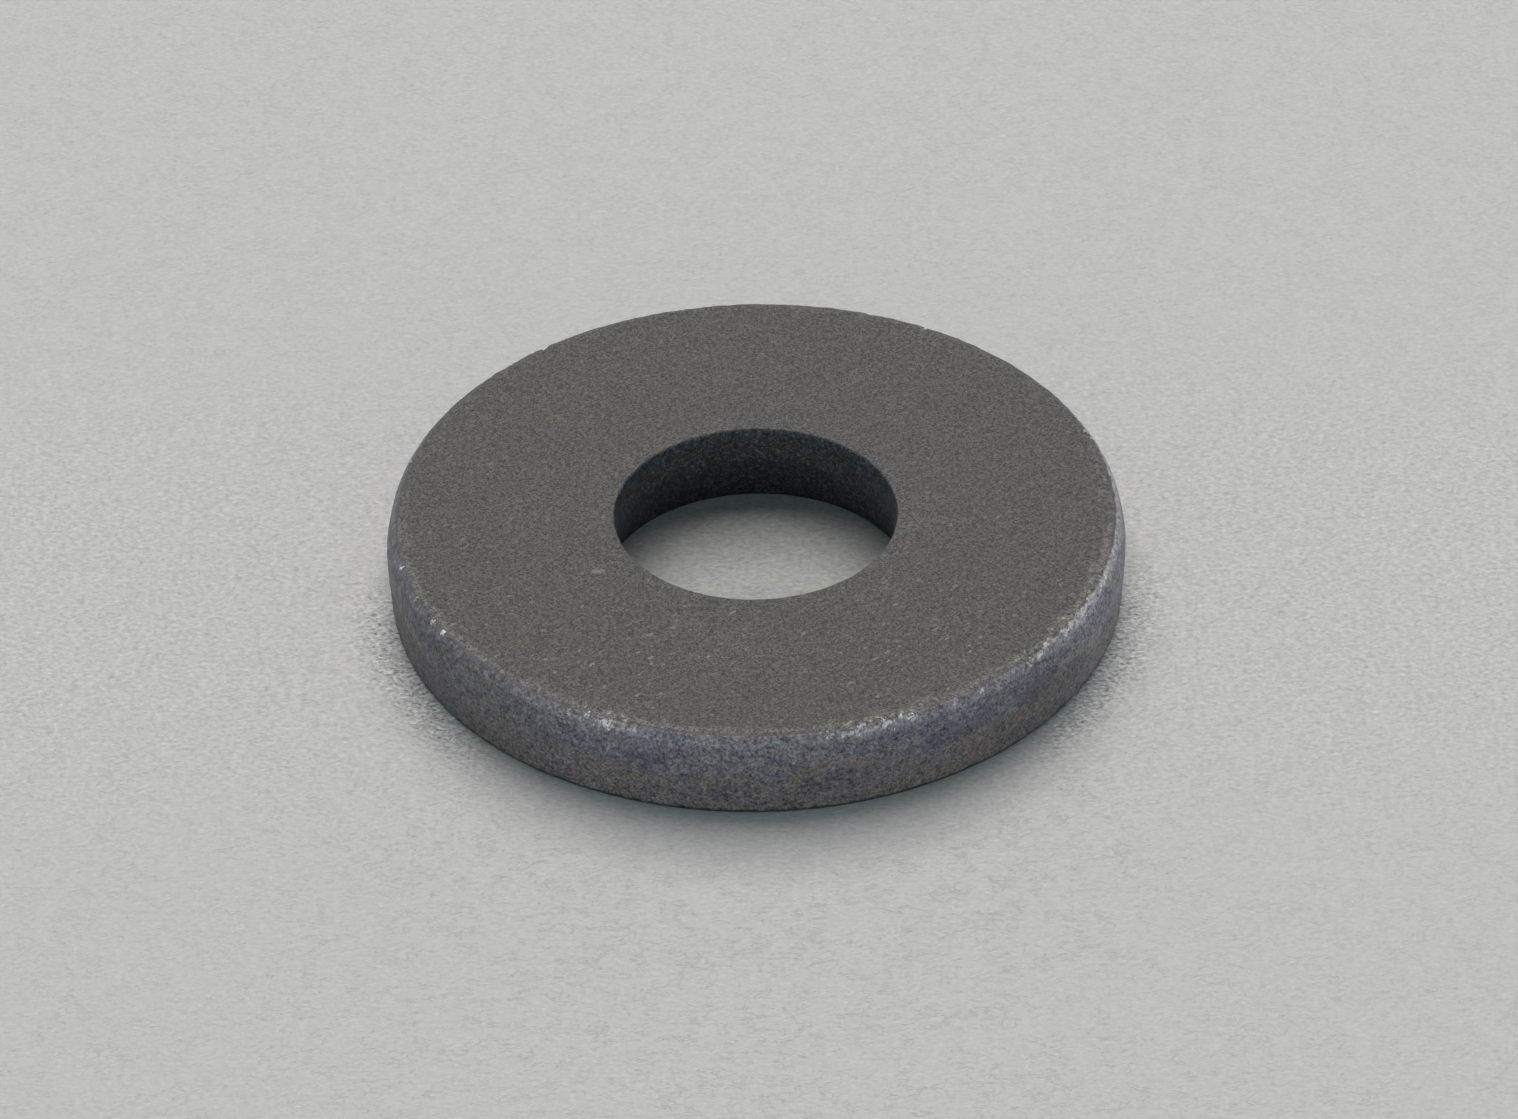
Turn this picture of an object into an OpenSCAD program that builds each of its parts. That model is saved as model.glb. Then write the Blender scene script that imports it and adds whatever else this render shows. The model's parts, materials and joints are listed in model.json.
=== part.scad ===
// Thick hardened flat washer, stamped from steel plate.
//
// Origin at the middle of the bottom face, +Z up through the hole. Millimetres.
// A compound die stamps the outside and the hole in one stroke, so both top
// edges are drawn down into a rolled rim. Below each rim is a smooth sheared
// band, and below that the steel has broken away at the die clearance, so the
// outside narrows and the hole widens towards the bottom face.

/* [Overall] */
// Outside diameter, over the smooth sheared band
outer_d = 40; // [34:0.5:60]
// Hole diameter, in the smooth sheared band
hole_d = 15.2; // [8:0.1:22]
// Thickness, face to face
thickness = 5; // [4.5:0.1:8]

/* [Outside wall] */
// Width of the rolled rim, seen from above
outer_roll_w = 0.6; // [0.2:0.05:1.5]
// Height that the rolled rim takes up on the wall
outer_roll_h = 1.6; // [0.4:0.05:1.8]
// Height of the smooth sheared band below the rolled rim
outer_band_h = 1; // [0.5:0.1:2]
// How far the broken wall below the band leans in
outer_break_w = 0.15; // [0.05:0.05:0.6]

/* [Hole wall] */
// Width of the rolled rim, seen from above
hole_roll_w = 0.15; // [0.1:0.05:0.8]
// Height that the rolled rim takes up on the wall
hole_roll_h = 0.4; // [0.2:0.05:1]
// Height of the smooth sheared band below the rolled rim
hole_band_h = 1.8; // [1:0.1:2.5]
// How far the broken wall below the band leans away
hole_break_w = 0.6; // [0.05:0.05:0.8]

/* [Bottom edges] */
// Bevel that tumbling leaves on both bottom edges
tumbled_edge = 0.2; // [0.05:0.05:0.4]

/* [Colour] */
// Colour of the blackened steel
steel_colour = "#5e5c5a"; // [#5e5c5a:Black oxide, #8b8d90:Plain steel, #b9bcc0:Zinc plated]

/* [Hidden] */

// Flats that stand in for one rolled rim, and for one turn
roll_steps = 8;
turn_steps = 180;

// How much of a quarter turn a rim has rolled when it meets the smooth band
roll_turn = 60;

outer_r = outer_d / 2;
hole_r = hole_d / 2;

// Radii at the bottom, where the broken walls end and where the bevels end
outer_break_r = outer_r - outer_break_w;
hole_break_r = hole_r + hole_break_w;
outer_foot_r = outer_break_r - tumbled_edge;
hole_foot_r = hole_break_r + tumbled_edge;

// Heights where each smooth band gives way to the broken wall
outer_break_z = thickness - outer_roll_h - outer_band_h;
hole_break_z = thickness - hole_roll_h - hole_band_h;

// Part of an ellipse from the top face over to the wall at wall_r.
// side is -1 where the metal lies inside wall_r, and 1 where it lies outside.
function rolled_rim(wall_r, roll_w, roll_h, side) = [
    for (step = [0 : roll_steps])
        let (turn = roll_turn * step / roll_steps)
        [
            wall_r + side * roll_w * (1 - sin(turn) / sin(roll_turn)),
            thickness - roll_h * (1 - cos(turn)) / (1 - cos(roll_turn))
        ]
];

function reversed(points) = [for (i = [len(points) - 1 : -1 : 0]) points[i]];

module cross_section() {
    polygon(concat(
        [
            [hole_foot_r, 0],
            [outer_foot_r, 0],
            [outer_break_r, tumbled_edge],
            [outer_r, outer_break_z]
        ],
        reversed(rolled_rim(outer_r, outer_roll_w, outer_roll_h, -1)),
        rolled_rim(hole_r, hole_roll_w, hole_roll_h, 1),
        [
            [hole_r, hole_break_z],
            [hole_break_r, tumbled_edge]
        ]
    ));
}

module washer() {
    color(steel_colour)
        rotate_extrude($fn = turn_steps)
            cross_section();
}

washer();
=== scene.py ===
import json
import math
import bpy
from mathutils import Matrix, Vector


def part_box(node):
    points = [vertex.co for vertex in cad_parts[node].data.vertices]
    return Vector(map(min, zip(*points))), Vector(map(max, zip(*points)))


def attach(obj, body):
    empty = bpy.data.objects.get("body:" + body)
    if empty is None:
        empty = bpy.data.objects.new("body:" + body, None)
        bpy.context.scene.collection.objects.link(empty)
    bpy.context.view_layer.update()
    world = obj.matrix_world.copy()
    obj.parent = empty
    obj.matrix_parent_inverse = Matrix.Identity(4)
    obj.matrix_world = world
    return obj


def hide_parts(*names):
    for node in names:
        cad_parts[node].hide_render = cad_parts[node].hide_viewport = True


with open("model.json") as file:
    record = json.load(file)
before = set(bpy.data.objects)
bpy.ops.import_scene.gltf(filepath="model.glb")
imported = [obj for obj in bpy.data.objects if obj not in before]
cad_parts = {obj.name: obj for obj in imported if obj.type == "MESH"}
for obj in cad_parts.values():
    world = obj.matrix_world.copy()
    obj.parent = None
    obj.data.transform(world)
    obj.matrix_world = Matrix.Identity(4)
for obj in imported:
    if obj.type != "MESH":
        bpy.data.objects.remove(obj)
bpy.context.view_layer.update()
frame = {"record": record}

perMetre = 1000.0        # wear, relief and patterns are worked out in millimetres
lowCorner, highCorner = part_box("washer")
outerRadius = (highCorner[0] - lowCorner[0]) / 2
thickness = highCorner[2] - lowCorner[2]
boltHole = next(mount for mount in frame["record"]["mounts"] if mount["name"] == "bolt_hole")
holeRadius = boltHole["dims"]["r_mm"] / perMetre

# the same three in millimetres
rim = outerRadius * perMetre
top = thickness * perMetre
bore = holeRadius * perMetre


# small helpers for both kinds of node tree
def feed(tree, socket, value):
    if isinstance(value, bpy.types.NodeSocket):
        tree.links.new(value, socket)
    else:
        socket.default_value = value


def addNode(tree, kind, inputs=None, **settings):
    node = tree.nodes.new(kind)
    for key, value in settings.items():
        setattr(node, key, value)
    for key, value in (inputs or {}).items():
        feed(tree, node.inputs[key], value)
    return node


def maths(tree, operation, *values):
    node = addNode(tree, "ShaderNodeMath", operation=operation)
    for slot, value in enumerate(values):
        feed(tree, node.inputs[slot], value)
    return node.outputs[0]


def vectorMaths(tree, operation, *values):
    node = addNode(tree, "ShaderNodeVectorMath", operation=operation)
    for slot, value in enumerate(values):
        feed(tree, node.inputs[slot], value)
    return node.outputs["Value" if operation in ("LENGTH", "DOT_PRODUCT") else "Vector"]


def scaled(tree, vector, factor):
    node = addNode(tree, "ShaderNodeVectorMath", operation="SCALE")
    feed(tree, node.inputs[0], vector)
    feed(tree, node.inputs["Scale"], factor)
    return node.outputs[0]


def stretched(tree, vector, x, y, z):
    return vectorMaths(tree, "MULTIPLY", vector, (x, y, z))


def product(tree, *values):
    result = values[0]
    for value in values[1:]:
        result = maths(tree, "MULTIPLY", result, value)
    return result


def total(tree, *values):
    result = values[0]
    for value in values[1:]:
        result = maths(tree, "ADD", result, value)
    return result


def minus(tree, value, *parts):
    for part in parts:
        value = maths(tree, "SUBTRACT", value, part)
    return value


def ramp(tree, value, start, end, low=0.0, high=1.0, smooth=True):
    # low at start, high at end, level beyond both
    kind = "SMOOTHSTEP" if smooth else "LINEAR"
    entries = {"Value": value, "From Min": start, "From Max": end, "To Min": low, "To Max": high}
    return addNode(tree, "ShaderNodeMapRange", entries, interpolation_type=kind).outputs["Result"]


def noise(tree, vector, scale, detail=2.0, roughness=0.5, seed=0.0, distortion=0.0):
    entries = {"Vector": vector, "W": seed, "Scale": scale, "Detail": detail,
               "Roughness": roughness, "Distortion": distortion}
    return addNode(tree, "ShaderNodeTexNoise", entries, noise_dimensions="4D").outputs[0]


def blendColour(tree, factor, first, second):
    node = addNode(tree, "ShaderNodeMix", data_type="RGBA")
    colours = [socket for socket in node.inputs if socket.type == "RGBA"]
    feed(tree, node.inputs[0], factor)
    for socket, value in zip(colours, (first, second)):
        if isinstance(value, tuple):
            value = (*value, 1.0)
        feed(tree, socket, value)
    return [socket for socket in node.outputs if socket.type == "RGBA"][0]


def blend(tree, factor, first, second):
    node = addNode(tree, "ShaderNodeMix", data_type="FLOAT")
    floats = [socket for socket in node.inputs if socket.type == "VALUE"]
    for socket, value in zip(floats, (factor, first, second)):
        feed(tree, socket, value)
    return [socket for socket in node.outputs if socket.type == "VALUE"][0]


washerSizes = {
    "turnSteps": 720,             # facets round the ring
    "outerRollWidth": 0.0006,     # rolled upper edge, inwards
    "outerRollHeight": 0.0016,    # rolled upper edge, downwards
    "outerBandHeight": 0.0010,    # straight sheared band under the roll
    "outerBreakWidth": 0.00015,   # how far the torn wall leans in by the foot
    "lipWidth": 0.00055,          # worn ring on the face just inside the roll
    "holeRollWidth": 0.00015,
    "holeRollHeight": 0.0004,
    "holeBandHeight": 0.0018,
    "holeBreakWidth": 0.0006,
    "tumbledEdge": 0.0002,        # bevel on both bottom edges
    "weldDistance": 0.000002,     # joins the strips of the section
    "reliefAmount": 1.0,          # 0 gives the clean turned section
    "reliefSeed": 3.7,
    # greatest depths of the relief, in metres
    "waveDepth": 0.000012,        # slow waves in both walls
    "dragDepth": 0.000025,        # lines that the die drew down both walls
    "tornDepth": 0.00013,
    "holeTornDepth": 0.00010,
    "rollDepth": 0.00005,
    "creaseDepth": 0.00003,       # line between the face and the roll
    "faceDepth": 0.000012,        # face below its worn lip
    "pitDepth": 0.000006,
    # bare metal on the roll: azimuth and half width in degrees, strength
    "wornPlaces": [
        (191.0, 2.5, 0.40), (201.0, 3.0, 0.50), (209.5, 2.5, 0.45), (246.5, 4.0, 1.00),
        (240.5, 1.5, 0.60), (257.0, 1.5, 0.35), (272.0, 1.2, 0.40), (287.5, 7.5, 0.90),
        (303.0, 5.0, 0.55), (318.5, 4.5, 0.80), (328.0, 5.5, 0.85), (336.5, 5.5, 0.78),
        (347.0, 4.0, 0.35), (20.0, 6.0, 0.35), (62.0, 9.0, 0.35), (98.0, 5.0, 0.30),
        (131.0, 8.0, 0.40), (160.0, 5.0, 0.35),
    ],
    # knocks on the edge: azimuth in degrees, then height, radius and depth in metres
    "knocks": [
        (257.0, 0.00465, 0.00035, 0.00006), (272.5, 0.00455, 0.00030, 0.00005),
        (244.0, 0.00475, 0.00060, 0.00008), (290.0, 0.00450, 0.00055, 0.00007),
        (333.0, 0.00470, 0.00060, 0.00009), (318.0, 0.00455, 0.00045, 0.00007),
        (207.0, 0.00465, 0.00045, 0.00006), (228.0, 0.00300, 0.00050, 0.00005),
        (70.0, 0.00460, 0.00060, 0.00009), (135.0, 0.00440, 0.00070, 0.00010),
        (15.0, 0.00300, 0.00060, 0.00006), (112.0, 0.00200, 0.00060, 0.00006),
    ],
    "knockInset": 0.00025,        # from the outer radius to the middle of a knock
}
washerInputs = {
    "Outer Radius": outerRadius,
    "Hole Radius": holeRadius,
    "Thickness": thickness,
    "Turn Steps": washerSizes["turnSteps"],
    "Roll Width": washerSizes["outerRollWidth"],
    "Roll Height": washerSizes["outerRollHeight"],
    "Band Height": washerSizes["outerBandHeight"],
    "Break Width": washerSizes["outerBreakWidth"],
    "Lip Width": washerSizes["lipWidth"],
    "Hole Roll Width": washerSizes["holeRollWidth"],
    "Hole Roll Height": washerSizes["holeRollHeight"],
    "Hole Band Height": washerSizes["holeBandHeight"],
    "Hole Break Width": washerSizes["holeBreakWidth"],
    "Tumbled Edge": washerSizes["tumbledEdge"],
    "Relief": washerSizes["reliefAmount"],
    "Relief Seed": washerSizes["reliefSeed"],
}


def washerLines(tree, given):
    # radii and heights, in metres, where one part of the section gives way to the next
    outer = given["Outer Radius"]
    hole = given["Hole Radius"]
    face = given["Thickness"]
    rollWidth = given["Roll Width"]
    rollHeight = given["Roll Height"]
    line = {"outer": outer, "hole": hole, "face": face, "edge": given["Tumbled Edge"]}
    line["rollFoot"] = minus(tree, face, rollHeight)
    line["bandFoot"] = minus(tree, line["rollFoot"], given["Band Height"])
    line["rollStart"] = minus(tree, outer, rollWidth)
    line["kneeRadius"] = minus(tree, outer, product(tree, rollWidth, 0.3))
    line["kneeHeight"] = minus(tree, face, product(tree, rollHeight, 0.4))
    line["rollBend"] = (minus(tree, outer, product(tree, rollWidth, 0.52)),
                        minus(tree, face, product(tree, rollHeight, 0.06)))
    line["lipStart"] = minus(tree, line["rollStart"], given["Lip Width"])
    line["footRadius"] = minus(tree, outer, given["Break Width"])
    line["holeFace"] = total(tree, hole, given["Hole Roll Width"])
    line["holeBend"] = (total(tree, hole, product(tree, given["Hole Roll Width"], 0.15)), face)
    line["holeRollFoot"] = minus(tree, face, given["Hole Roll Height"])
    line["holeBandFoot"] = minus(tree, line["holeRollFoot"], given["Hole Band Height"])
    line["holeBreakFoot"] = total(tree, hole, given["Hole Break Width"])
    return line


def washerSection(tree, line):
    # the cut through the ring, as strips joined end to end
    edge = line["edge"]
    stations = {      # radius, height
        "footInner": (minus(tree, line["footRadius"], edge), 0.0),
        "footOuter": (line["footRadius"], edge),
        "bandFoot": (line["outer"], line["bandFoot"]),
        "rollFoot": (line["outer"], line["rollFoot"]),
        "knee": (line["kneeRadius"], line["kneeHeight"]),
        "rollStart": (line["rollStart"], line["face"]),
        "lipStart": (line["lipStart"], line["face"]),
        "holeFace": (line["holeFace"], line["face"]),
        "holeRollFoot": (line["hole"], line["holeRollFoot"]),
        "holeBandFoot": (line["hole"], line["holeBandFoot"]),
        "holeBreakFoot": (line["holeBreakFoot"], edge),
        "holeFoot": (total(tree, line["holeBreakFoot"], edge), 0.0),
    }
    strips = [        # from, to, steps, bend point
        ("footInner", "footOuter", 3, None),
        ("footOuter", "bandFoot", 16, None),
        ("bandFoot", "rollFoot", 7, None),
        ("rollFoot", "knee", 7, None),
        ("knee", "rollStart", 7, line["rollBend"]),
        ("rollStart", "lipStart", 7, None),
        ("lipStart", "holeFace", 30, None),
        ("holeFace", "holeRollFoot", 5, line["holeBend"]),
        ("holeRollFoot", "holeBandFoot", 10, None),
        ("holeBandFoot", "holeBreakFoot", 14, None),
        ("holeBreakFoot", "holeFoot", 2, None),
        ("holeFoot", "footInner", 18, None),
    ]

    def sectionPoint(radius, height):
        # the sweep takes X outwards from the ring and Y downwards
        return addNode(tree, "ShaderNodeCombineXYZ", {
            "X": maths(tree, "SUBTRACT", radius, line["outer"]),
            "Y": maths(tree, "MULTIPLY", height, -1.0)}).outputs[0]

    section = tree.nodes.new("GeometryNodeJoinGeometry")
    for start, end, steps, bend in strips:
        first = sectionPoint(*stations[start])
        last = sectionPoint(*stations[end])
        if bend:
            middle = sectionPoint(*bend)
        else:
            middle = scaled(tree, vectorMaths(tree, "ADD", first, last), 0.5)
        strip = addNode(tree, "GeometryNodeCurveQuadraticBezier",
                        {"Resolution": steps, "Start": first, "Middle": middle, "End": last})
        tree.links.new(strip.outputs[0], section.inputs[0])
    return section.outputs[0]


def washerWear(tree, line, seed):
    # where the ring is torn, rolled, worn or knocked, and how deep that goes in millimetres
    place = scaled(tree, addNode(tree, "GeometryNodeInputPosition").outputs[0], perMetre)
    height = addNode(tree, "ShaderNodeSeparateXYZ", {"Vector": place}).outputs["Z"]
    flat = stretched(tree, place, 1.0, 1.0, 0.0)
    radius = vectorMaths(tree, "LENGTH", flat)

    def millimetres(name):
        return maths(tree, "MULTIPLY", line[name], perMetre)

    def depth(name):
        return washerSizes[name] * perMetre

    def seeded(step):
        return total(tree, seed, step)

    rollStart = millimetres("rollStart")
    hole = millimetres("hole")
    face = millimetres("face")
    outerSide = ramp(tree, radius, millimetres("lipStart"), rollStart)
    innerSide = ramp(tree, radius, total(tree, hole, 1.2), total(tree, hole, 0.7))
    sides = total(tree, outerSide, innerSide)
    topSide = ramp(tree, height, minus(tree, face, 0.02), minus(tree, face, 0.001))
    offFloor = ramp(tree, height, 0.02, 0.25)

    # torn part below a wandering line, on the rim and in the hole
    wander = noise(tree, flat, 0.42, 3.0, 0.55, seed)
    rimLine = total(tree, millimetres("bandFoot"), ramp(tree, wander, 0.3, 0.7, -0.45, 0.85, False))
    torn = product(tree, outerSide,
                   ramp(tree, height, total(tree, rimLine, 0.16), minus(tree, rimLine, 0.14)))
    holeWander = noise(tree, flat, 0.8, 2.0, 0.5, seeded(5.0))
    holeLine = total(tree, millimetres("holeBandFoot"), ramp(tree, holeWander, 0.3, 0.7, -0.4, 0.4, False))
    holeTorn = product(tree, innerSide,
                       ramp(tree, height, total(tree, holeLine, 0.15), minus(tree, holeLine, 0.15)))

    # rolled edge above its own wandering line
    kneeWander = noise(tree, flat, 0.9, 3.0, 0.6, seeded(11.0))
    kneeLine = total(tree, millimetres("kneeHeight"), ramp(tree, kneeWander, 0.3, 0.7, -0.16, 0.16, False))
    rolled = product(tree, ramp(tree, height, minus(tree, kneeLine, 0.07), total(tree, kneeLine, 0.05)),
                     outerSide, ramp(tree, radius, rollStart, total(tree, rollStart, 0.06)))

    # worn lip ring on the face, with an uneven inner edge, and the crease outside it
    lipWander = noise(tree, flat, 0.7, 2.0, 0.5, seeded(17.0))
    lipLine = total(tree, millimetres("lipStart"), ramp(tree, lipWander, 0.3, 0.7, -0.16, 0.22, False))
    lip = product(tree, ramp(tree, radius, minus(tree, lipLine, 0.1), total(tree, lipLine, 0.2)),
                  ramp(tree, radius, total(tree, rollStart, 0.06), minus(tree, rollStart, 0.08)))
    creaseLine = total(tree, rollStart, ramp(tree, kneeWander, 0.3, 0.7, -0.05, 0.05, False))
    creaseGap = maths(tree, "ABSOLUTE", minus(tree, radius, creaseLine))
    crease = product(tree, ramp(tree, creaseGap, 0.13, 0.0), topSide)

    # bare metal places round the rolled edge
    direction = vectorMaths(tree, "NORMALIZE", flat)
    worn = 0.0
    for azimuth, halfWidth, strength in washerSizes["wornPlaces"]:
        angle = math.radians(azimuth)
        facing = vectorMaths(tree, "DOT_PRODUCT", direction, (math.cos(angle), math.sin(angle), 0.0))
        worn = total(tree, worn, ramp(tree, facing, math.cos(math.radians(halfWidth * 1.5)),
                                      math.cos(math.radians(halfWidth * 0.4)), 0.0, strength))

    # knocks press the edge in
    knockRing = rim - washerSizes["knockInset"] * perMetre
    pressed = 0.0
    for azimuth, level, size, deep in washerSizes["knocks"]:
        angle = math.radians(azimuth)
        middle = (knockRing * math.cos(angle), knockRing * math.sin(angle), level * perMetre)
        gap = vectorMaths(tree, "LENGTH", vectorMaths(tree, "SUBTRACT", place, middle))
        pressed = total(tree, pressed, ramp(tree, gap, size * perMetre, 0.0, 0.0, deep * perMetre))

    rough = noise(tree, place, 1.5, 3.0, 0.6, seeded(23.0))
    waves = noise(tree, place, 0.3, 2.0, 0.5, seeded(29.0))
    dragLines = noise(tree, stretched(tree, place, 1.6, 1.6, 0.18), 1.0, 2.0, 0.6, seeded(31.0))
    pits = noise(tree, place, 1.1, 2.0, 0.5, seeded(37.0))
    inwards = total(
        tree,
        product(tree, ramp(tree, waves, 0.25, 0.75, 0.0, depth("waveDepth"), False), sides, offFloor),
        product(tree, torn, ramp(tree, rough, 0.35, 0.8, 0.0, depth("tornDepth"), False), offFloor),
        product(tree, holeTorn, ramp(tree, rough, 0.35, 0.8, 0.0, depth("holeTornDepth"), False), offFloor),
        product(tree, ramp(tree, dragLines, 0.35, 0.75, 0.0, depth("dragDepth"), False), sides, offFloor),
        product(tree, crease, depth("creaseDepth")),
        product(tree, minus(tree, topSide, product(tree, lip, topSide)), depth("faceDepth")),
        product(tree, topSide, ramp(tree, pits, 0.35, 0.65, 0.0, depth("pitDepth"), False)),
        product(tree, rolled, ramp(tree, rough, 0.35, 0.7, 0.0, depth("rollDepth"), False)),
        pressed,
    )
    shown = {"torn": total(tree, torn, holeTorn), "rolled": rolled, "lip": lip, "worn": worn,
             "crease": crease}
    return shown, inwards


def insideBox(tree, geometry, line):
    # nothing may pass the outer radius, the face or the foot
    now = addNode(tree, "ShaderNodeSeparateXYZ",
                  {"Vector": addNode(tree, "GeometryNodeInputPosition").outputs[0]}).outputs
    flat = addNode(tree, "ShaderNodeCombineXYZ", {"X": now["X"], "Y": now["Y"]}).outputs[0]
    shrink = maths(tree, "MINIMUM", maths(tree, "DIVIDE", line["outer"],
                                          vectorMaths(tree, "LENGTH", flat)), 1.0)
    limited = addNode(tree, "ShaderNodeCombineXYZ", {
        "X": product(tree, now["X"], shrink),
        "Y": product(tree, now["Y"], shrink),
        "Z": maths(tree, "MAXIMUM", maths(tree, "MINIMUM", now["Z"], line["face"]), 0.0)}).outputs[0]
    return addNode(tree, "GeometryNodeSetPosition", {"Geometry": geometry, "Position": limited}).outputs[0]


def washerTree(inputs, material):
    tree = bpy.data.node_groups.new("turnedWasher", "GeometryNodeTree")
    identifiers = {}
    for name, value in inputs.items():
        kind = "NodeSocketInt" if isinstance(value, int) else "NodeSocketFloat"
        socket = tree.interface.new_socket(name=name, in_out="INPUT", socket_type=kind)
        identifiers[name] = socket.identifier
    tree.interface.new_socket(name="Geometry", in_out="OUTPUT", socket_type="NodeSocketGeometry")
    given = addNode(tree, "NodeGroupInput").outputs

    line = washerLines(tree, given)
    ring = addNode(tree, "GeometryNodeCurvePrimitiveCircle",
                   {"Resolution": given["Turn Steps"], "Radius": line["outer"]}).outputs[0]
    swept = addNode(tree, "GeometryNodeCurveToMesh",
                    {"Curve": ring, "Profile Curve": washerSection(tree, line)}).outputs[0]
    welded = addNode(tree, "GeometryNodeMergeByDistance",
                     {"Geometry": swept, "Distance": washerSizes["weldDistance"]}).outputs[0]
    body = addNode(tree, "GeometryNodeFlipFaces", {"Mesh": welded}).outputs[0]   # the sweep faces inwards

    shown, inwards = washerWear(tree, line, given["Relief Seed"])
    for name, value in shown.items():
        body = addNode(tree, "GeometryNodeStoreNamedAttribute",
                       {"Geometry": body, "Name": name, "Value": value},
                       data_type="FLOAT", domain="POINT").outputs[0]
    push = scaled(tree, addNode(tree, "GeometryNodeInputNormal").outputs[0],
                  product(tree, inwards, given["Relief"], -1.0 / perMetre))
    body = addNode(tree, "GeometryNodeSetPosition", {"Geometry": body, "Offset": push}).outputs[0]
    body = insideBox(tree, body, line)
    body = addNode(tree, "GeometryNodeSetShadeSmooth", {"Geometry": body}).outputs[0]
    body = addNode(tree, "GeometryNodeRealizeInstances", {"Geometry": body}).outputs[0]
    body = addNode(tree, "GeometryNodeSetMaterial", {"Geometry": body, "Material": material}).outputs[0]
    tree.links.new(body, tree.nodes.new("NodeGroupOutput").inputs[0])
    return tree, identifiers


def plainMesh(name, tree, values):
    holder = bpy.data.objects.new(name + "Maker", bpy.data.meshes.new(name + "Maker"))
    bpy.context.scene.collection.objects.link(holder)
    maker = holder.modifiers.new("maker", "NODES")
    maker.node_group = tree
    for identifier, value in values.items():
        maker[identifier] = value
    graph = bpy.context.evaluated_depsgraph_get()
    graph.update()
    mesh = bpy.data.meshes.new_from_object(holder.evaluated_get(graph))
    holder.modifiers.remove(maker)
    bpy.data.objects.remove(holder)
    mesh.name = name
    piece = bpy.data.objects.new(name, mesh)
    bpy.context.scene.collection.objects.link(piece)
    return piece


steelFinish = {
    "oxide": (0.0788, 0.0776, 0.0762),     # matt brown grey of the flat faces
    "speck": (0.270, 0.262, 0.250),        # dust and tiny worn points on the faces
    "rust": (0.104, 0.089, 0.080),         # faint warm clouding
    "slate": (0.190, 0.172, 0.188),        # drawn band of the rim
    "navy": (0.102, 0.105, 0.140),         # darker blotches in it
    "lavender": (0.246, 0.226, 0.250),     # rolled edge, its tone partly painted sheen
    "tornBrown": (0.178, 0.144, 0.132),    # broken wall
    "contactShade": (0.045, 0.045, 0.047),      # painted contact shade, nearly black, on the bevel by the foot
    "lipOlive": (0.143, 0.139, 0.128),     # worn ring on the face
    "bare": (0.90, 0.87, 0.89),            # bright steel where the oxide is knocked off
    # dark tone of the bore, darker than the rim's steel as painted shade in the hole
    "bore": (0.0290, 0.0375, 0.0460),
    "metallic": 0.15,
    "bareMetallic": 0.3,
    "specular": 0.5,
    "faceGrain": 9.5,                      # grains to the millimetre
    "faceFine": 8.0,                       # strength of the fine speckle
    "faceCoarse": 1.6,
    "rimGrain": 7.5,
    "rimFine": 5.6,
    "rimCoarse": 1.2,
    "clouding": 0.6,                       # strength of the slow changes
    "paintedLitSide": 350.0,                    # azimuth in degrees of the stretch of rim lightened as painted highlight
    "paintedLitBy": 0.42,
    "smearPlace": (-0.0085, -0.0050, 0.0),         # pale smear on the face, in metres
    "chipLine": (0.00048, 0.00028),        # how far inside the rim the bare flecks run, in metres
    # patches on the rim: azimuth in degrees, then height, half width, half height in metres, strength
    "navyMarks": [
        (281.5, 0.00195, 0.0026, 0.00085, 1.0), (264.0, 0.00150, 0.0008, 0.00070, 0.7),
        (252.0, 0.00320, 0.0015, 0.00060, 0.5), (301.0, 0.00310, 0.0022, 0.00060, 0.6),
        (236.0, 0.00260, 0.0012, 0.00080, 0.5), (318.0, 0.00300, 0.0018, 0.00070, 0.6),
        (327.0, 0.00220, 0.0009, 0.00090, 0.6), (70.0, 0.00240, 0.0030, 0.00090, 0.6),
        (140.0, 0.00280, 0.0024, 0.00080, 0.6),
    ],
    "brownMarks": [
        (282.5, 0.00305, 0.0024, 0.00014, 1.0), (317.0, 0.00210, 0.0026, 0.00035, 0.8),
        (334.0, 0.00260, 0.0002, 0.00110, 1.0), (296.0, 0.00075, 0.0032, 0.00050, 0.9),
        (228.0, 0.00080, 0.0030, 0.00050, 0.6), (247.0, 0.00190, 0.0020, 0.00040, 0.4),
        (308.0, 0.00120, 0.0020, 0.00060, 0.6), (110.0, 0.00140, 0.0030, 0.00060, 0.7),
        (30.0, 0.00160, 0.0025, 0.00050, 0.6),
    ],
}


def tinted(tree, vector, scale, detail, seed, amount):
    # small changes of brightness and hue, centred on zero
    entries = {"Vector": vector, "W": seed, "Scale": scale, "Detail": detail, "Roughness": 0.7}
    cloud = addNode(tree, "ShaderNodeTexNoise", entries, noise_dimensions="4D")
    hue = vectorMaths(tree, "SUBTRACT", cloud.outputs["Color"], (0.5, 0.5, 0.5))
    brightness = product(tree, minus(tree, cloud.outputs[0], 0.5), amount * 0.86)
    return vectorMaths(tree, "ADD", scaled(tree, hue, amount * 0.14),
                       scaled(tree, (1.0, 1.0, 1.0), brightness))


def speckled(tree, place, grain, fine, coarse):
    # a factor round 1 for each colour, never below 0.2
    grains = vectorMaths(tree, "ADD", tinted(tree, place, grain, 3.0, 1.0, fine),
                         tinted(tree, place, 2.6, 3.0, 2.0, coarse))
    grains = vectorMaths(tree, "ADD", grains, tinted(tree, place, 0.7, 3.0, 3.0, steelFinish["clouding"]))
    return vectorMaths(tree, "MAXIMUM", vectorMaths(tree, "ADD", grains, (1.0, 1.0, 1.0)), (0.2, 0.2, 0.2))


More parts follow.
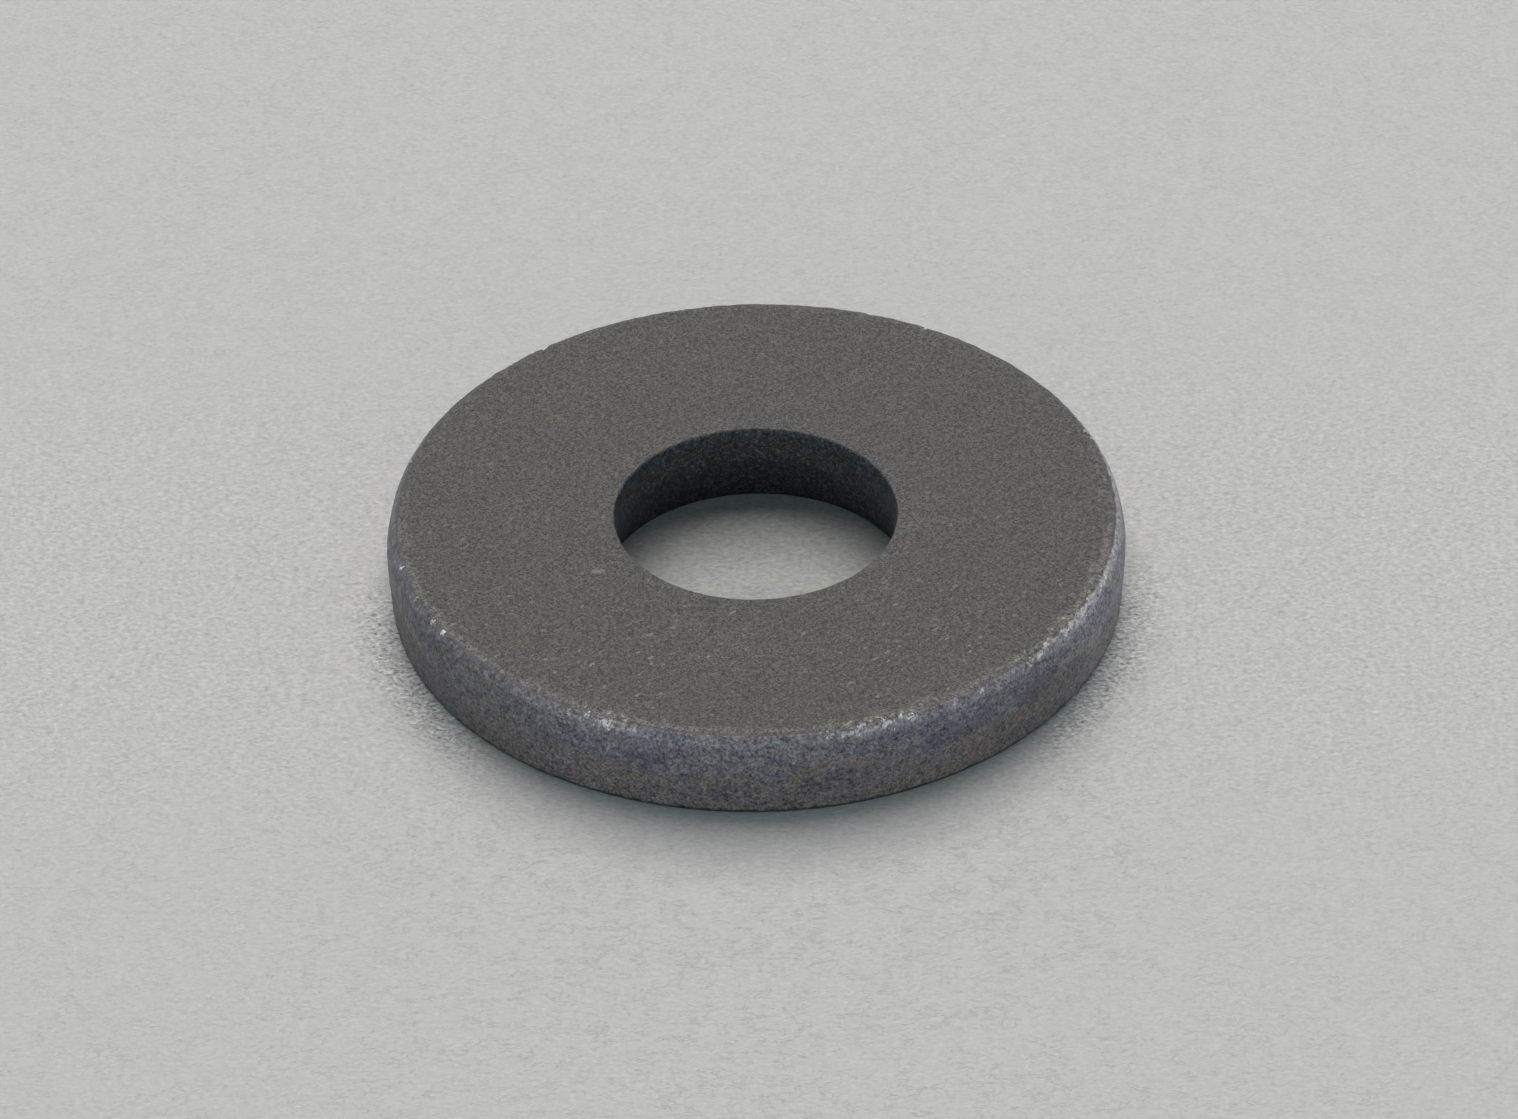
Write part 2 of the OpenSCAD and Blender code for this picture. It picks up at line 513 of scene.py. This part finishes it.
def marks(tree, vector, places):
    ring = rim - 0.05
    shown = 0.0
    for azimuth, level, halfWidth, halfHeight, strength in places:
        angle = math.radians(azimuth)
        middle = (ring * math.cos(angle), ring * math.sin(angle), level * perMetre)
        across = 1.0 / (halfWidth * perMetre)
        gap = stretched(tree, vectorMaths(tree, "SUBTRACT", vector, middle), across, across,
                        1.0 / (halfHeight * perMetre))
        shown = total(tree, shown, ramp(tree, vectorMaths(tree, "LENGTH", gap), 1.15, 0.65, 0.0, strength))
    return shown


def dots(tree, vector, scale, size, share, shift):
    # scattered round specks: one cell in a few holds one
    moved = vectorMaths(tree, "ADD", vector, (shift, shift, 0.0))
    cells = addNode(tree, "ShaderNodeTexVoronoi", voronoi_dimensions="2D")
    feed(tree, cells.inputs["Vector"], moved)
    cells.inputs["Scale"].default_value = scale
    lucky = addNode(tree, "ShaderNodeSeparateColor", {"Color": cells.outputs["Color"]}).outputs
    reach = ramp(tree, lucky["Green"], 0.0, 1.0, size * 0.4, size)
    near = ramp(tree, cells.outputs["Distance"], reach, product(tree, reach, 0.5))
    chosen = ramp(tree, lucky["Red"], 1.0 - share, 1.02 - share)
    return product(tree, near, chosen, ramp(tree, lucky["Blue"], 0.0, 1.0, 0.35, 1.0))


def strungFlecks(tree, vector, worn, lineRadius):
    # whole chips, each one cell wide, whose centres lie close to the line
    cells = addNode(tree, "ShaderNodeTexVoronoi", {"Vector": vector, "Scale": 3.3})
    lucky = addNode(tree, "ShaderNodeSeparateColor", {"Color": cells.outputs["Color"]}).outputs
    middle = stretched(tree, cells.outputs["Position"], 1.0, 1.0, 0.0)
    off = maths(tree, "ABSOLUTE", minus(tree, vectorMaths(tree, "LENGTH", middle), lineRadius))
    close = ramp(tree, off, 0.20, 0.13)
    edge = ramp(tree, worn, 0.1, 1.0, 1.0, 0.12, False)
    chosen = ramp(tree, lucky["Red"], edge, total(tree, edge, 0.02))
    body = ramp(tree, cells.outputs["Distance"], 0.58, 0.42)
    return product(tree, close, chosen, body, ramp(tree, lucky["Blue"], 0.0, 1.0, 0.25, 1.0, False))


def steelSpot(tree):
    # what every layer of the finish reads: places in millimetres, wear and shared noises
    place = scaled(tree, tree.nodes.new("ShaderNodeTexCoord").outputs["Object"], perMetre)
    axes = addNode(tree, "ShaderNodeSeparateXYZ", {"Vector": place}).outputs
    flat = stretched(tree, place, 1.0, 1.0, 0.0)
    spot = {"place": place, "front": axes["Y"], "height": axes["Z"],
            "radius": vectorMaths(tree, "LENGTH", flat)}
    for name in ("torn", "rolled", "lip", "worn", "crease"):
        spot[name] = addNode(tree, "ShaderNodeAttribute", attribute_name=name).outputs["Fac"]
    litSide = math.radians(steelFinish["paintedLitSide"])
    spot["facing"] = vectorMaths(tree, "DOT_PRODUCT", vectorMaths(tree, "NORMALIZE", flat),
                                 (math.cos(litSide), math.sin(litSide), 0.0))
    spot["grain"] = noise(tree, place, 7.0, 3.0, 0.75, 1.0)
    spot["medium"] = noise(tree, place, 2.6, 3.0, 0.6, 2.0)
    spot["mottle"] = noise(tree, place, 0.8, 4.0, 0.6, 3.0)
    spot["drawn"] = noise(tree, stretched(tree, place, 4.0, 4.0, 1.1), 1.0, 3.0, 0.65, 6.0)
    spot["patches"] = noise(tree, stretched(tree, place, 1.6, 1.6, 2.1), 1.0, 4.0, 0.75, 8.0)
    spot["smallPatches"] = noise(tree, stretched(tree, place, 2.4, 2.4, 3.0), 1.0, 4.0, 0.75, 9.0)
    spot["chips"] = noise(tree, place, 4.4, 3.0, 0.75, 19.0)
    spot["ragged"] = vectorMaths(tree, "ADD", place, tinted(tree, place, 5.0, 2.0, 47.0, 0.9))
    spot["rimSpeckle"] = speckled(tree, place, steelFinish["rimGrain"], steelFinish["rimFine"],
                                  steelFinish["rimCoarse"])
    spot["faceSpeckle"] = speckled(tree, place, steelFinish["faceGrain"], steelFinish["faceFine"],
                                   steelFinish["faceCoarse"])
    spot["flats"] = total(tree, ramp(tree, spot["height"], top - 0.10, top - 0.04),
                          ramp(tree, spot["height"], 0.02, 0.004))
    return spot


def faceColour(tree, spot):
    cloud = noise(tree, spot["place"], 0.16, 3.0, 0.5, 4.0)
    face = blendColour(tree, ramp(tree, cloud, 0.5, 0.72, 0.0, 0.35), steelFinish["oxide"],
                       steelFinish["rust"])
    face = vectorMaths(tree, "MULTIPLY", face, spot["faceSpeckle"])

    # specks of dust, thicker towards the front
    frontBias = ramp(tree, spot["front"], 8.0, -16.0, 0.35, 1.0)
    large = product(tree, dots(tree, spot["ragged"], 1.6, 0.22, 0.32, 3.1), frontBias)
    small = product(tree, dots(tree, spot["ragged"], 3.6, 0.30, 0.25, 7.7), frontBias, 0.6)
    face = blendColour(tree, maths(tree, "MAXIMUM", large, small), face, steelFinish["speck"])

    smearMiddle = tuple(value * perMetre for value in steelFinish["smearPlace"])
    smearGap = stretched(tree, vectorMaths(tree, "SUBTRACT", spot["ragged"], smearMiddle), 2.4, 4.5, 0.0)
    smear = ramp(tree, vectorMaths(tree, "LENGTH", smearGap), 1.2, 0.3, 0.0, 0.75)
    return blendColour(tree, smear, face, steelFinish["speck"])


def rimColour(tree, spot):
    # slate with navy, lavender and brown patches
    height = spot["height"]
    medium = spot["medium"]
    mottle = spot["mottle"]
    facing = spot["facing"]
    side = blendColour(tree, ramp(tree, spot["patches"], 0.44, 0.60), steelFinish["slate"],
                       steelFinish["navy"])
    side = blendColour(tree, ramp(tree, spot["smallPatches"], 0.50, 0.64, 0.0, 0.6), side,
                       steelFinish["lavender"])
    warped = vectorMaths(tree, "ADD", spot["place"], tinted(tree, spot["place"], 1.2, 3.0, 41.0, 2.0))
    side = blendColour(tree, marks(tree, warped, steelFinish["navyMarks"]), side,
                       scaled(tree, steelFinish["navy"], 0.85))
    brownTorn = product(tree, spot["torn"], ramp(tree, spot["smallPatches"], 0.60, 0.40, 0.1, 0.9))
    brownness = total(tree, brownTorn, ramp(tree, medium, 0.55, 0.68, 0.0, 0.45),
                      marks(tree, warped, steelFinish["brownMarks"]))
    side = blendColour(tree, maths(tree, "MINIMUM", brownness, 1.0), side, steelFinish["tornBrown"])

    # rolled edge in lavender, partly its own tone and partly painted sheen, held back on the far side as
    # painted shade, and the dark line at its knee
    rolledToneAndSheen = product(tree, spot["rolled"], ramp(tree, medium, 0.3, 0.6, 0.55, 1.0),
                          ramp(tree, facing, -0.85, -0.25, 0.35, 1.0))
    side = blendColour(tree, rolledToneAndSheen, side, steelFinish["lavender"])
    knee = product(tree, spot["rolled"], minus(tree, 1.0, spot["rolled"]),
                   ramp(tree, mottle, 0.42, 0.58, 0.4, 3.0))
    side = blendColour(tree, knee, side, steelFinish["navy"])

    # brown towards the foot, and painted contact shade, nearly black, on the bevel
    footLine = total(tree, height, ramp(tree, spot["patches"], 0.3, 0.7, -0.5, 0.5, False))
    side = blendColour(tree, ramp(tree, footLine, 0.9, 0.3, 0.0, 0.8), side, steelFinish["tornBrown"])
    bevelLine = total(tree, height, ramp(tree, medium, 0.3, 0.7, -0.06, 0.06, False))
    side = blendColour(tree, ramp(tree, bevelLine, 0.36, 0.20), side, steelFinish["contactShade"])

    # paler band under the edge at the front
    bandLine = total(tree, height, ramp(tree, mottle, 0.3, 0.7, -0.25, 0.25, False))
    frontBand = product(tree, ramp(tree, spot["front"], -13.5, -18.5),
                        ramp(tree, bandLine, top - 0.95, top - 0.5))
    side = blendColour(tree, product(tree, frontBand, 0.55), side, steelFinish["lavender"])

    # painted light: one stretch of the rim is made paler as painted highlight and the far side from it
    # darker as painted shade
    paintedLight = product(tree, ramp(tree, facing, 0.86, 0.98, 1.04, 1.04 + steelFinish["paintedLitBy"]),
                   ramp(tree, facing, -0.85, -0.25, 0.66, 1.0),
                   maths(tree, "MAXIMUM", ramp(tree, facing, 0.6, 0.8, 1.0, 0.87),
                         ramp(tree, height, top - 1.7, top - 0.9)))
    return scaled(tree, vectorMaths(tree, "MULTIPLY", side, spot["rimSpeckle"]), paintedLight)


def lipColour(tree, spot, colour):
    # worn olive ring on the face, lifted at the front as painted highlight, and the crease outside it
    # darkened as painted shade
    frontLipHighlight = ramp(tree, spot["front"], 4.0, -7.0, 0.12, 1.0)
    lipShown = product(tree, spot["lip"], frontLipHighlight, ramp(tree, spot["medium"], 0.3, 0.6, 0.45, 1.0))
    olive = vectorMaths(tree, "MULTIPLY", steelFinish["lipOlive"], spot["faceSpeckle"])
    colour = blendColour(tree, lipShown, colour, olive)
    # painted shade: the crease between the face and the roll darkened
    crease = product(tree, spot["crease"], ramp(tree, spot["worn"], 0.7, 0.1),
                     ramp(tree, spot["medium"], 0.35, 0.6, 0.45, 1.0))
    return blendColour(tree, crease, colour, steelFinish["navy"])


def boreShadeColour(tree, spot, colour):
    # painted shade: the bore wall's dark oxide made darker still, as shade inside the hole
    shadedInHole = product(tree, ramp(tree, spot["radius"], bore + 0.85, bore + 0.70),
                     ramp(tree, spot["height"], top - 0.03, top - 0.1), 0.93)
    tone = vectorMaths(tree, "MULTIPLY", steelFinish["bore"],
                       vectorMaths(tree, "MULTIPLY", spot["rimSpeckle"], spot["rimSpeckle"]))
    tone = scaled(tree, tone, ramp(tree, spot["grain"], 0.42, 0.66, 0.6, 2.2))
    return blendColour(tree, shadedInHole, colour, tone)


def bareFlecks(tree, spot):
    # fine chips, whole flecks and blotches on the lip, strung along a wandering line on the roll, and a
    # painted sheen over worn places of the roll
    wander = noise(tree, stretched(tree, spot["place"], 0.8, 0.8, 0.0), 1.0, 2.0, 0.5, 21.0)
    inner, outer = (rim - inset * perMetre for inset in steelFinish["chipLine"])
    lineRadius = ramp(tree, wander, 0.3, 0.7, inner, outer, False)
    nearLine = ramp(tree, maths(tree, "ABSOLUTE", minus(tree, spot["radius"], lineRadius)), 0.24, 0.05)
    onRoll = ramp(tree, spot["height"], top - 0.8, top - 0.6)
    threshold = ramp(tree, product(tree, spot["worn"], nearLine), 0.0, 1.0, 0.80, 0.52, False)
    fine = product(tree, ramp(tree, minus(tree, spot["chips"], threshold), 0.0, 0.09), onRoll)
    whole = product(tree, strungFlecks(tree, spot["ragged"], spot["worn"], lineRadius),
                    ramp(tree, spot["height"], top - 0.5, top - 0.3))
    blotches = product(tree, spot["lip"], ramp(tree, spot["worn"], 0.4, 1.0),
                       ramp(tree, spot["medium"], 0.55, 0.66), 0.35)
    chip = maths(tree, "MAXIMUM", maths(tree, "MAXIMUM", fine, whole), blotches)
    paintedSheen = product(tree, spot["worn"], nearLine, onRoll, 0.25)
    return chip, maths(tree, "MINIMUM", paintedSheen, 0.6)


def blackenedSteel():
    material = bpy.data.materials.new("blackenedSteel")
    material.use_nodes = True
    tree = material.node_tree
    tree.nodes.clear()
    surface = tree.nodes.new("ShaderNodeBsdfPrincipled")
    end = tree.nodes.new("ShaderNodeOutputMaterial")
    tree.links.new(surface.outputs[0], end.inputs[0])
    spot = steelSpot(tree)
    torn = spot["torn"]
    medium = spot["medium"]
    chip, paintedSheen = bareFlecks(tree, spot)

    colour = blendColour(tree, spot["flats"], rimColour(tree, spot), faceColour(tree, spot))
    colour = lipColour(tree, spot, colour)
    colour = boreShadeColour(tree, spot, colour)
    chain = product(tree, dots(tree, spot["place"], 2.6, 0.42, 0.55, 5.5), spot["lip"],
                    ramp(tree, spot["facing"], 0.80, 0.93), 0.7)      # row of specks on the lip
    colour = blendColour(tree, chain, colour, steelFinish["speck"])
    # painted sheen in lavender on worn places of the roll
    colour = blendColour(tree, paintedSheen, colour, steelFinish["lavender"])
    colour = blendColour(tree, product(tree, chip, 0.9), colour, steelFinish["bare"])
    feed(tree, surface.inputs["Base Color"], colour)

    # the drawn band is tighter and shinier than the torn wall and the matt faces
    rough = blend(tree, torn, ramp(tree, spot["patches"], 0.35, 0.65, 0.38, 0.50, False),
                  ramp(tree, medium, 0.3, 0.7, 0.48, 0.66, False))
    rough = blend(tree, spot["flats"], rough, ramp(tree, medium, 0.3, 0.7, 0.56, 0.70, False))
    feed(tree, surface.inputs["Roughness"], blend(tree, chip, rough, 0.34))
    feed(tree, surface.inputs["Metallic"],
         blend(tree, chip, steelFinish["metallic"], steelFinish["bareMetallic"]))
    surface.inputs["Specular IOR Level"].default_value = steelFinish["specular"]

    relief = total(            # in millimetres
        tree,
        product(tree, spot["grain"], blend(tree, torn, 0.022, 0.040)),
        product(tree, medium, blend(tree, torn, 0.020, 0.060)),
        product(tree, spot["drawn"], blend(tree, spot["flats"], 0.014, 0.0)),
        product(tree, spot["chips"], ramp(tree, spot["rolled"], 0.1, 0.8, 0.0, 0.06)),
    )
    bump = addNode(tree, "ShaderNodeBump", {"Height": relief, "Strength": 1.0, "Distance": 1.0 / perMetre})
    tree.links.new(bump.outputs[0], surface.inputs["Normal"])
    return material


steel = blackenedSteel()
print("scene: steel mixed, nodes", len(steel.node_tree.nodes))

turnedTree, inputIds = washerTree(washerInputs, steel)
washerBody = plainMesh("washerBody", turnedTree,
                       {inputIds[name]: value for name, value in washerInputs.items()})
mesh = washerBody.data
volume = sum(face.center.dot(face.normal) * face.area for face in mesh.polygons) / 3
triangles = sum(len(face.vertices) - 2 for face in mesh.polygons)
print("scene: washer made, triangles", triangles, "volume in mm3", round(volume * perMetre ** 3, 1))
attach(washerBody, "root")
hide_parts("washer")


floorLook = {
    "halfSize": 1.6,
    "height": 0.00002,        # a hair above zero: the underside can be looked at from below
    "colour": (0.610, 0.632, 0.643),
    "holeShadeColour": (0.488, 0.528, 0.528),      # painted shade on the sheet inside the hole
    "holeShadeEdge": 0.0014,      # how far past the hole's wall the painted shade fades out
    "roughness": 0.25,
    "specular": 0.3,
    # glints thrown beside the washer: how far past its wall they hold and where they end
    "glintHold": 0.0009,
    "glintEnd": 0.0028,
    "glintSides": (0.0130, 0.0175),       # they start and are full this far left and right
}


def paleSheet():
    material = bpy.data.materials.new("paleSheet")
    material.use_nodes = True
    tree = material.node_tree
    surface = tree.nodes["Principled BSDF"]
    place = scaled(tree, tree.nodes.new("ShaderNodeTexCoord").outputs["Object"], perMetre)
    axes = addNode(tree, "ShaderNodeSeparateXYZ", {"Vector": place}).outputs
    reach = vectorMaths(tree, "LENGTH", place)
    ripple = noise(tree, place, 0.8, 3.0, 0.55, 12.0, 0.4)
    fine = noise(tree, stretched(tree, place, 2.6, 4.2, 1.0), 1.0, 3.0, 0.65, 13.0, 0.3)
    creases = noise(tree, stretched(tree, place, 1.1, 2.2, 1.0), 1.0, 3.0, 0.6, 14.0, 0.8)
    strokes = noise(tree, stretched(tree, place, 3.2, 5.0, 1.0), 1.0, 3.0, 0.7, 16.0, 0.6)
    patchy = ramp(tree, noise(tree, place, 1.1, 2.0, 0.5, 15.0), 0.40, 0.58)
    creaseGap = maths(tree, "ABSOLUTE", minus(tree, creases, 0.5))
    wrinkle = product(tree, ramp(tree, creaseGap, 0.03, 0.0), patchy)

    # glints left and right of the washer break the sheet into light and dark strokes
    sideStart, sideFull = (side * perMetre for side in floorLook["glintSides"])
    beside = product(tree, ramp(tree, reach, rim + floorLook["glintEnd"] * perMetre,
                                rim + floorLook["glintHold"] * perMetre),
                     ramp(tree, maths(tree, "ABSOLUTE", axes["X"]), sideStart, sideFull),
                     ramp(tree, axes["Y"], 3.0, -3.0))
    crisp = ramp(tree, maths(tree, "ABSOLUTE", axes["Y"]), 26.0, 6.0, 1.0, 2.3)
    tone = total(tree, 1.0, product(tree, minus(tree, fine, 0.5), 0.46, crisp),
                 product(tree, minus(tree, ripple, 0.5), 0.05), product(tree, wrinkle, -0.06),
                 product(tree, minus(tree, strokes, 0.5),
                         total(tree, product(tree, crisp, 0.25), product(tree, beside, 3.0))))
    # painted shade on the sheet inside the hole, darker and greener
    sheet = blendColour(tree, ramp(tree, reach, bore, bore + floorLook["holeShadeEdge"] * perMetre),
                        floorLook["holeShadeColour"], floorLook["colour"])
    feed(tree, surface.inputs["Base Color"], scaled(tree, sheet, tone))

    relief = total(tree, product(tree, ripple, 0.05), product(tree, fine, 0.05),
                   product(tree, wrinkle, -0.01))      # in millimetres
    bump = addNode(tree, "ShaderNodeBump", {"Height": relief, "Strength": 1.0, "Distance": 1.0 / perMetre})
    tree.links.new(bump.outputs[0], surface.inputs["Normal"])
    surface.inputs["Roughness"].default_value = floorLook["roughness"]
    surface.inputs["Specular IOR Level"].default_value = floorLook["specular"]
    return material


half = floorLook["halfSize"]
level = floorLook["height"]
corners = [(-half, -half, level), (half, -half, level), (half, half, level), (-half, half, level)]
floorMesh = bpy.data.meshes.new("floor")
floorMesh.from_pydata(corners, [], [(0, 1, 2, 3)])
floorMesh.materials.append(paleSheet())
floor = bpy.data.objects.new("floor", floorMesh)
bpy.context.scene.collection.objects.link(floor)
print("scene: floor laid")


lightSetup = {
    "horizon": (1.34, 1.58, 1.66),      # cool light from low down, all round
    "halfWay": (0.28, 0.33, 0.35),
    "overhead": (0.06, 0.06, 0.06),
    "halfWayHeight": 0.45,              # sine of the elevation at which each colour is reached
    "overheadHeight": 0.9,
    "skyStrength": 1.0,
    "boxPower": 12.4,
    "boxSize": 1.10,
    "boxDistance": 1.25,
    "boxElevation": 60.0,
    "boxAzimuth": 94.0,
    "boxColour": (1.0, 0.905, 0.835),
}
world = bpy.data.worlds.new("studio")
world.use_nodes = True
bpy.context.scene.world = world
sky = world.node_tree
background = sky.nodes["Background"]
aim = sky.nodes.new("ShaderNodeTexCoord").outputs["Generated"]
rise = addNode(sky, "ShaderNodeSeparateXYZ", {"Vector": aim}).outputs["Z"]
lowSky = blendColour(sky, ramp(sky, rise, 0.0, lightSetup["halfWayHeight"], smooth=False),
                     lightSetup["horizon"], lightSetup["halfWay"])
highShare = ramp(sky, rise, lightSetup["halfWayHeight"], lightSetup["overheadHeight"], smooth=False)
feed(sky, background.inputs["Color"], blendColour(sky, highShare, lowSky, lightSetup["overhead"]))
background.inputs["Strength"].default_value = lightSetup["skyStrength"]

boxLight = bpy.data.lights.new("softBox", "AREA")
boxLight.shape = "RECTANGLE"
boxLight.size = lightSetup["boxSize"]
boxLight.size_y = lightSetup["boxSize"]
boxLight.energy = lightSetup["boxPower"]
boxLight.color = lightSetup["boxColour"]
softBox = bpy.data.objects.new("softBox", boxLight)
elevation = math.radians(lightSetup["boxElevation"])
azimuth = math.radians(lightSetup["boxAzimuth"])
towards = Vector((math.cos(elevation) * math.cos(azimuth), math.cos(elevation) * math.sin(azimuth),
                  math.sin(elevation)))
softBox.matrix_world = Matrix.Translation(towards * lightSetup["boxDistance"]) @ \
    towards.to_track_quat("Z", "Y").to_matrix().to_4x4()
bpy.context.scene.collection.objects.link(softBox)
print("scene: lights placed")


cameraSetup = {
    "lens": 213.44,             # millimetres, as the sensor
    "sensor": 36.0,
    "nearest": 0.01,
    "farthest": 20.0,
    "elevation": 37.12,
    "roll": -1.0585,
    "distance": 0.48934,
    "slideRight": 0.00013,
    "slideUp": 0.00144,
}
lens = bpy.data.cameras.new("viewer")
lens.lens = cameraSetup["lens"]
lens.sensor_width = cameraSetup["sensor"]
lens.sensor_fit = "HORIZONTAL"
lens.clip_start = cameraSetup["nearest"]
lens.clip_end = cameraSetup["farthest"]
viewer = bpy.data.objects.new("viewer", lens)
tilt = math.radians(cameraSetup["elevation"])
roll = math.radians(cameraSetup["roll"])
back = Vector((0.0, -math.cos(tilt), math.sin(tilt)))
right = Vector((1.0, 0.0, 0.0))
up = Vector((0.0, math.sin(tilt), math.cos(tilt)))
rolledRight = right * math.cos(roll) + up * math.sin(roll)
rolledUp = up * math.cos(roll) - right * math.sin(roll)
stand = back * cameraSetup["distance"] + right * cameraSetup["slideRight"] + up * cameraSetup["slideUp"]
turn = Matrix((rolledRight, rolledUp, back)).transposed().to_4x4()
viewer.matrix_world = Matrix.Translation(stand) @ turn
bpy.context.scene.collection.objects.link(viewer)
bpy.context.scene.camera = viewer
bpy.context.scene.view_settings.view_transform = "Standard"
print("scene: camera set")
